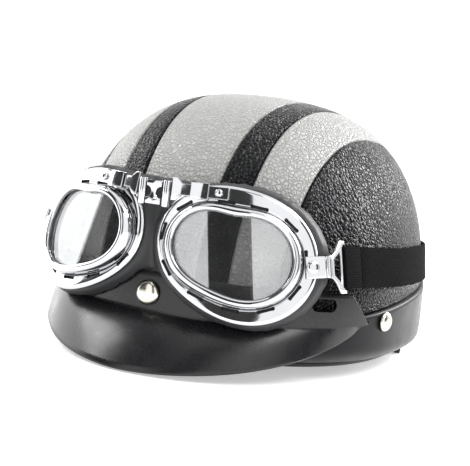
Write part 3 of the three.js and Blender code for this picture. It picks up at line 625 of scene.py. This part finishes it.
def build_peak():
    u = np.linspace(-1, 1, 161)
    u = np.sign(u) * (1 - (1 - np.abs(u)) ** 1.35)
    v = np.concatenate([np.linspace(0, 0.36, 14), np.linspace(0.375, 0.43, 6), np.linspace(0.45, 1, 26)])
    uu, vv = np.meshgrid(u, v, indexing="ij")
    grid = peak_surface(uu, vv)
    for _ in range(3):
        blurred = grid.copy()
        blurred[:, 1:-1] = (grid[:, :-2] + 2 * grid[:, 1:-1] + grid[:, 2:]) / 4
        near = np.exp(-(((vv - 0.4) / 0.06) ** 2))[..., None]
        grid = grid * (1 - near) + blurred * near
    n = normals(grid)
    distance = edge_distance(grid)
    drop = rounded_drop(distance, 1.1)
    outer = grid - n * drop[..., None]
    inner = grid - n * (PEAK_THICKNESS - 0.05 - 0.4 * drop)[..., None]
    peak = closed_sheet("peak_visual", outer, inner, 50)
    cut(peak, joined([peak_slot(1), peak_slot(-1)]), 50)
    finish_piece(peak, "helmet", "peak_plastic", PEAK, "peak")


def peak_slot(side):
    half, end = (SLOT_LENGTH - SLOT_HEIGHT) / 2, SLOT_HEIGHT / 2
    angles = np.linspace(-math.pi / 2, math.pi / 2, 12)
    right = [(half + end * math.cos(a), end * math.sin(a)) for a in angles]
    outline = right + [(-x, -y) for x, y in right]
    yaw = side * math.radians(SLOT_YAW)
    centre = np.array(SLOT_CENTRE) * np.array([side, 1, 1])
    along = np.array([math.cos(yaw), math.sin(yaw), 0])
    through = np.array([-math.sin(yaw), math.cos(yaw), 0])
    rings = [[centre + along * x + through * d + np.array([0, 0, y]) for x, y in outline] for d in (-9, 9)]
    return prism("slot_cutter", rings)


def prism(name, rings):
    count = len(rings[0])
    faces = [tuple(range(count)), tuple(range(2 * count - 1, count - 1, -1))]
    for i in range(count):
        j = (i + 1) % count
        faces.append((i, j, j + count, i + count))
    return new_mesh(name, np.array(rings).reshape(-1, 3), faces)


# ---------- goggles ----------

def cup_basis(side):
    level = math.cos(CUP_PITCH)
    n = np.array([math.sin(CUP_YAW) * level, -math.cos(CUP_YAW) * level, math.sin(CUP_PITCH)])
    u0 = np.array([math.cos(CUP_YAW), math.sin(CUP_YAW), 0])
    v0 = np.cross(n, u0)
    u = u0 * math.cos(CUP_ROLL) + v0 * math.sin(CUP_ROLL)
    v = v0 * math.cos(CUP_ROLL) - u0 * math.sin(CUP_ROLL)
    flip = np.array([side, 1, 1])
    return CUP_CENTRE * flip, u * flip, v * flip, n * flip


def cup_point(side, out, up, height):
    centre, u, v, n = cup_basis(side)
    out, up, height = (np.asarray(a, float)[..., None] for a in (out, up, height))
    return centre + u * out + v * up + n * (height - CUP_CURVE * out * out / 2)


def egg(shape, angle):
    mean, c1, s1, c2, s2 = shape
    return mean + c1 * np.cos(angle) + s1 * np.sin(angle) + c2 * np.cos(2 * angle) + s2 * np.sin(2 * angle)


def cup_ring(side, profile, count=160):
    angle = np.linspace(0, 2 * math.pi, count, endpoint=False)[:, None]
    profile = np.asarray(profile, float)
    inner, outer = egg(LENS_EGG, angle), egg(FLANGE_EGG, angle)
    reach = inner + (outer - inner) * profile[:, 0] + profile[:, 1]
    height = np.broadcast_to(profile[:, 2], reach.shape)
    return cup_point(side, reach * np.cos(angle), reach * np.sin(angle), height)


def vent_cutter(side, degrees):
    def at(a):
        reach = egg(LENS_EGG, a) + BEZEL_WIDTH + 0.8 + 0.9
        return np.array([reach * math.cos(a), reach * math.sin(a)])

    angle = math.radians(degrees)
    centre = at(angle)
    tangent = at(angle + 0.01) - centre
    tangent /= np.linalg.norm(tangent)
    across = np.array([-tangent[1], tangent[0]])
    outline = []
    for end in (1, -1):
        for a in np.linspace(-2.2, 2.2, 9):
            x = end * (4.1 + 1.15 * math.cos(a))
            outline.append((x, end * 1.15 * math.sin(a)))
    rings = []
    for height in (-3, 6):
        flat = [centre + tangent * x + across * y for x, y in outline]
        rings.append([cup_point(side, p[0], p[1], height) for p in flat])
    return prism("vent_cutter", rings)


def build_cup(name, side):
    foot = BEZEL_WIDTH + 0.3
    flange_profile = chaikin([
        (1, -0.5, 0), (1, 0.1, 0.3), (1, 0.1, 1.3), (1, -0.9, 2.3), (1, -2.0, 2.75), (1, -3.2, 2.7),
        (0.5, 1.3, 2.4), (0, foot, 2.1), (0, foot, 0.6), (0.5, 1.4, 0.6), (1, -3, 0.6), (1, -2, 0.0),
    ], 2)
    flange = torus_mesh(f"frame_{name}_visual", cup_ring(side, flange_profile), 40)
    cut(flange, joined([vent_cutter(side, degrees) for degrees in VENT_ANGLES]), 40)
    finish_piece(flange, "goggles", "chrome", CHROME, f"frame_{name}")
    w = BEZEL_WIDTH
    bezel_profile = chaikin([
        (0, w, 0.6), (0, w, 3.4), (0, w - 0.2, 5.4), (0, w - 1.0, 7.4), (0, w - 2.1, 8.6),
        (0, w - 3.3, 8.8), (0, w - 4.3, 8.5), (0, 0.5, 7.9), (0, 0.1, 7.0), (0, 0.1, 5.8),
        (0, 2.9, 5.8), (0, 3.1, 4.0), (0, 3.1, 0.6),
    ], 2)
    bezel = torus_mesh(f"bezel_{name}_visual", cup_ring(side, bezel_profile), 70)
    finish_piece(bezel, "goggles", "chrome", CHROME, f"bezel_{name}")
    build_lens(name, side)


def build_lens(name, side):
    rings, count = 14, 128
    angle = np.linspace(0, 2 * math.pi, count, endpoint=False)
    edge = egg(LENS_EGG, angle) + 2.5
    layers = []
    for height in (5.2, 3.7):
        for i in range(1, rings + 1):
            reach = edge * i / rings
            out, up = reach * np.cos(angle), reach * np.sin(angle)
            layers.append(cup_point(side, out, up, np.full(count, height)))
    tips = [cup_point(side, 0, 0, height)[None] for height in (5.2, 3.7)]
    points = np.concatenate([np.array(layers).reshape(-1, 3), *tips])
    faces = []
    for layer in range(2):
        faces += grid_faces(rings, count, False, True, layer * rings * count)
        tip = 2 * rings * count + layer
        first = layer * rings * count
        faces += [(tip, first + i, first + (i + 1) % count) for i in range(count)]
    a, b = (rings - 1) * count, (2 * rings - 1) * count
    faces += [(a + i, a + (i + 1) % count, b + (i + 1) % count, b + i) for i in range(count)]
    lens = new_mesh(f"lens_{name}_visual", points, faces, 40)
    finish_piece(lens, "goggles", "lens_clear", LENS, f"lens_{name}")


def build_mask():
    mask = refined("mask_cushion", "goggles", "mask_rubber", MASK, bevel=0, voxel=1.7, relax=7)
    co = np.array([v.co for v in mask.data.vertices]) * 1000 - np.array([0, Y_SHIFT, 0])
    n = np.array([v.normal for v in mask.data.vertices])
    inside = np.linalg.norm(project(co, 0.5), axis=1) > np.linalg.norm(co, axis=1) + 1.0
    top = np.clip((co[:, 2] - 96) / 10, 0, 1) * (~inside)
    ripple = np.sin(co[:, 0] * 0.9 + 2.2 * wave(co, 9, 5)) * wave(co, 5, 8)
    moved = co + n * (0.75 * top * ripple + 0.22 * wave(co, 9, 2))[:, None]
    mask.data.vertices.foreach_set("co", to_frame(moved).astype(np.float32).ravel())
    mask.data.update()


# ---------- snaps and hardware ----------

def surface_matrix(angle, z, offset):
    at = dome_point(angle, z, offset)
    along = dome_point(angle + 0.01, z, offset) - at
    along /= np.linalg.norm(along)
    upward = dome_point(angle, z + 0.5, offset) - at
    outward = np.cross(along, upward)
    outward /= np.linalg.norm(outward)
    return at, along, np.cross(outward, along), outward


def cup_frame(side, out, up, height, twist):
    """Origin and axes of a frame lying on a cup's curved front."""
    _, u, v, n = cup_basis(side)
    slope = CUP_CURVE * out
    along = u - n * slope
    along /= np.linalg.norm(along)
    normal = n + u * slope
    normal /= np.linalg.norm(normal)
    turned = Matrix.Rotation(side * math.radians(twist), 3, Vector(normal)) @ Vector(along)
    along = np.array(turned) * side
    return cup_point(side, out, up, height), along, np.cross(normal, along), normal


def rivet(node, radius, height, place, shift, lift):
    at, along, up, outward = place
    matrix = (at + along * shift + outward * lift, along, up, outward)
    snap(node, "goggles", radius, height, matrix, node, slot="chrome", material=CHROME)


def snap(name, body, radius, height, matrix, *nodes, slot="nickel", material=None):
    at, along, up, outward = matrix
    profile = [
        (0.0, 1.0), (0.25, 0.985), (0.5, 0.93), (0.7, 0.82), (0.84, 0.66), (0.93, 0.47),
        (0.97, 0.34), (1.0, 0.24), (1.0, 0.1), (0.97, 0.0), (0.0, 0.0),
    ]
    angles = np.linspace(0, 2 * math.pi, 64, endpoint=False)
    rows = []
    for a in angles:
        direction = along * math.cos(a) + up * math.sin(a)
        rows.append([at + direction * radius * max(r, 1e-3) + outward * height * h for r, h in profile])
    cap = new_mesh(name + "_visual", np.array(rows), grid_faces(64, len(profile), True, False), 60)
    finish_piece(cap, body, slot, material or NICKEL, *nodes)


def build_snaps():
    on_peak = BAND_PROUD + 0.3 + PEAK_THICKNESS + 0.3
    snap("peak_snap", "helmet", 7.4, 3.6, surface_matrix(0, 41.5, on_peak + 0.2), "peak_snap")
    for name, side in SIDES:
        matrix = surface_matrix(side * math.radians(68.5), 36, BAND_PROUD + 0.7)
        snap(f"side_snap_{name}", "helmet", 6.2, 3.4, matrix, f"side_snap_{name}")
    back = 0.5 + BAND_PROUD + 0.1 + 1.8 + 0.6
    snap("keeper_snap", "keeper", 6.2, 3.2, surface_matrix(math.pi, 49, back + 2.5), "keeper_snap")


def build_hardware():
    for name, side in SIDES:
        for part in ("bridge_pin", "bridge_link", "bridge_clamp", "side_tab"):
            refined(f"{part}_{name}", "goggles", "chrome", CHROME, bevel=0.3)
        place = cup_frame(side, TAB_OUT, TAB_UP, 3, 0)
        rivet(f"side_rivet_{name}", 3.8, 1.8, place, side * -0.3, 1.75)
        place = cup_frame(side, -14, 32.4, 2.9, -10)
        rivet(f"bridge_rivet_{name}", 2.3, 1.4, place, side * 11.0, 1.85)
        refined(f"strap_hook_{name}", f"hook_{name}", "chrome", CHROME, bevel=0.35)
        refined(f"strap_loop_{name}", f"hook_{name}", "strap_webbing", WEBBING, bevel=0.8)
        refined(f"chin_anchor_{name}", "helmet", "nickel", NICKEL, bevel=0.3)
    refined("bridge_plate", "goggles", "chrome", CHROME, bevel=0.3)
    refined("strap_adjuster", "adjuster", "buckle_plastic", BUCKLE, bevel=0.6)
    refined("strap_keeper", "keeper", "black_leather", BLACK_LEATHER, bevel=0.5)
    refined("keeper_stud", "helmet", "nickel", NICKEL, bevel=0.3)
    refined("buckle_socket", "chin", "buckle_plastic", BUCKLE, bevel=1.2, segments=4)
    refined("buckle_plug", "chin", "buckle_plastic", BUCKLE, bevel=1.2, segments=4)
    refined("buckle_lever", "lever", "lever_red", LEVER, bevel=0.6)
    refined("chin_strap_short", "chin", "chin_webbing", CHIN_WEBBING, bevel=0.4)
    refined("chin_strap_long", "chin", "chin_webbing", CHIN_WEBBING, bevel=0.4)


def build_padding():
    refined("foam_liner", "helmet", "liner_foam", FOAM, bevel=1.5, angle=40)
    for node in ("lining_crown", "lining_front", "lining_rear", "lining_side_left", "lining_side_right"):
        refined(node, "helmet", "lining_fabric", LINING, bevel=0, voxel=2.2, relax=6)
    refined("neck_pad", "helmet", "pad_leather", PAD, bevel=0, voxel=1.6, relax=5)
    refined("chin_pad", "chin", "lining_fabric", LINING, bevel=0, voxel=1.4, relax=5)


# ---------- strap ----------

def build_strap():
    for name, _ in SIDES:
        refined(f"strap_{name}", "goggles", "strap_webbing", WEBBING, bevel=0.45)
    refined("strap_rear", "helmet", "strap_webbing", WEBBING, bevel=0.45)


# ---------- stage ----------

def build_stage():
    mesh = bpy.data.meshes.new("floor")
    mesh.from_pydata([(-14, -6, 0), (14, -6, 0), (14, 5.1, 0), (-14, 5.1, 0)], [], [(0, 1, 2, 3)])
    floor = bpy.data.objects.new("floor", mesh)
    floor.location.z = -0.0003
    bpy.context.scene.collection.objects.link(floor)
    m = Nodes("floor")
    cloud = m.noise(1.5, 2.0)
    m.set(Base_Color=m.ramp(cloud, (0.3, 0.86), (0.7, 0.89)), Roughness=0.9)
    m.set(Emission_Color=(1.0, 1.0, 1.0, 1.0), Emission_Strength=0.45)
    mesh.materials.append(m.material)


def area_light(name, position, target, size, power, size_y=None):
    data = bpy.data.lights.new(name, "AREA")
    data.shape = "RECTANGLE"
    data.size = size
    data.size_y = size_y or size
    data.energy = power
    lamp = bpy.data.objects.new(name, data)
    lamp.location = position
    direction = Vector(target) - Vector(position)
    lamp.rotation_euler = direction.to_track_quat("-Z", "Y").to_euler()
    bpy.context.scene.collection.objects.link(lamp)


def light_card(name, azimuth, width, low, high, radiance, distance=1.6):
    """An upright softbox facing the helmet, as bright as asked from any distance."""
    a, middle = math.radians(azimuth), (low + high) / 2
    across = 2 * distance * math.tan(math.radians(width) / 2)
    place = (math.sin(a) * distance, -math.cos(a) * distance, middle)
    power = math.pi * across * (high - low) * radiance
    area_light(name, place, (0, 0, middle), across, power, high - low)


def build_light():
    world = bpy.data.worlds.new("studio")
    world.use_nodes = True
    background = world.node_tree.nodes["Background"]
    background.inputs["Color"].default_value = (1.0, 1.0, 1.0, 1)
    background.inputs["Strength"].default_value = WORLD
    bpy.context.scene.world = world
    light_card("front", -11.5, 29, 0.0, 1.5, FRONT)
    light_card("right", 50, 46, 0.0, 1.5, RIGHT)
    light_card("left", -92, 56, 0.0, 1.5, LEFT)
    area_light("top", (0.25, 0.2, 1.8), (0, 0, 0.1), 2.4, math.pi * 5.76 * TOP)
    area_light("rear_right", (0.77, 1.2, 0.85), (0, 0, 0.1), 0.9, math.pi * 0.81 * 12)
    area_light("upper_right", (0.95, -0.35, 1.15), (0, 0, 0.1), 0.6, math.pi * 0.36 * 8)
    area_light("upper_left", (-1.0, -0.35, 0.95), (0, 0, 0.1), 0.45, math.pi * 0.2 * 13)
    bpy.context.scene.view_settings.view_transform = "Standard"


def build_backdrop():
    mesh = bpy.data.meshes.new("backdrop")
    mesh.from_pydata([(-14, 5, -0.01), (14, 5, -0.01), (14, 5, 8), (-14, 5, 8)], [], [(0, 1, 2, 3)])
    wall = bpy.data.objects.new("backdrop", mesh)
    bpy.context.scene.collection.objects.link(wall)
    m = Nodes("backdrop")
    m.set(Base_Color=m.ramp(m.noise(0.3), (0.3, 0.85), (0.7, 0.88)), Roughness=0.9)
    m.set(Emission_Color=(1.0, 1.0, 1.0, 1.0), Emission_Strength=0.85)
    mesh.materials.append(m.material)


def dark_card(name, azimuth, width, low, high):
    """A tall dark flag that gives the chrome and lenses something dark to mirror."""
    a, half, distance = math.radians(azimuth), math.radians(width) / 2, 1.6
    corners = []
    for turn, z in ((-half, low), (half, low), (half, high), (-half, high)):
        corners.append((math.sin(a + turn) * distance, -math.cos(a + turn) * distance, z))
    mesh = bpy.data.meshes.new(name)
    mesh.from_pydata(corners, [], [(0, 1, 2, 3)])
    card = bpy.data.objects.new(name, mesh)
    bpy.context.scene.collection.objects.link(card)
    m = Nodes(name)
    m.set(Base_Color=m.ramp(m.noise(3.0), (0.3, 0.012), (0.7, 0.02)), Roughness=0.9)
    mesh.materials.append(m.material)


def build_camera():
    azimuth, elevation, roll = (math.radians(a) for a in (24.67, 4.06, 7.33))
    distance, focal = 689.2, 988.3
    level = math.cos(elevation)
    back = np.array([math.sin(azimuth) * level, -math.cos(azimuth) * level, math.sin(elevation)])
    position = np.array([0, -8.57, 80.0]) + distance * back
    right = np.cross(-back, [0, 0, 1])
    right /= np.linalg.norm(right)
    up = np.cross(right, -back)
    right, up = right * math.cos(roll) + up * math.sin(roll), -right * math.sin(roll) + up * math.cos(roll)
    data = bpy.data.cameras.new("camera")
    data.sensor_width = 36
    data.lens = focal / 470 * 36
    data.shift_x = -18.84 / 470
    data.shift_y = -8.87 / 470
    data.clip_start, data.clip_end = 0.01, 50
    camera = bpy.data.objects.new("camera", data)
    bpy.context.scene.collection.objects.link(camera)
    place = to_frame(position)[0]
    camera.matrix_world = Matrix((
        (right[0], up[0], back[0], place[0]),
        (right[1], up[1], back[1], place[1]),
        (right[2], up[2], back[2], place[2]),
        (0, 0, 0, 1),
    ))
    bpy.context.scene.camera = camera


build_leather()
build_shell()
build_trim()
build_peak()
for cup_name, cup_side in SIDES:
    build_cup(cup_name, cup_side)
build_mask()
build_snaps()
build_hardware()
build_padding()
build_strap()
build_stage()
build_backdrop()
build_light()
dark_card("flag_front", 14.6, 22, 0.05, 1.5)
dark_card("flag_side", -42, 30, 0.05, 1.5)
build_camera()
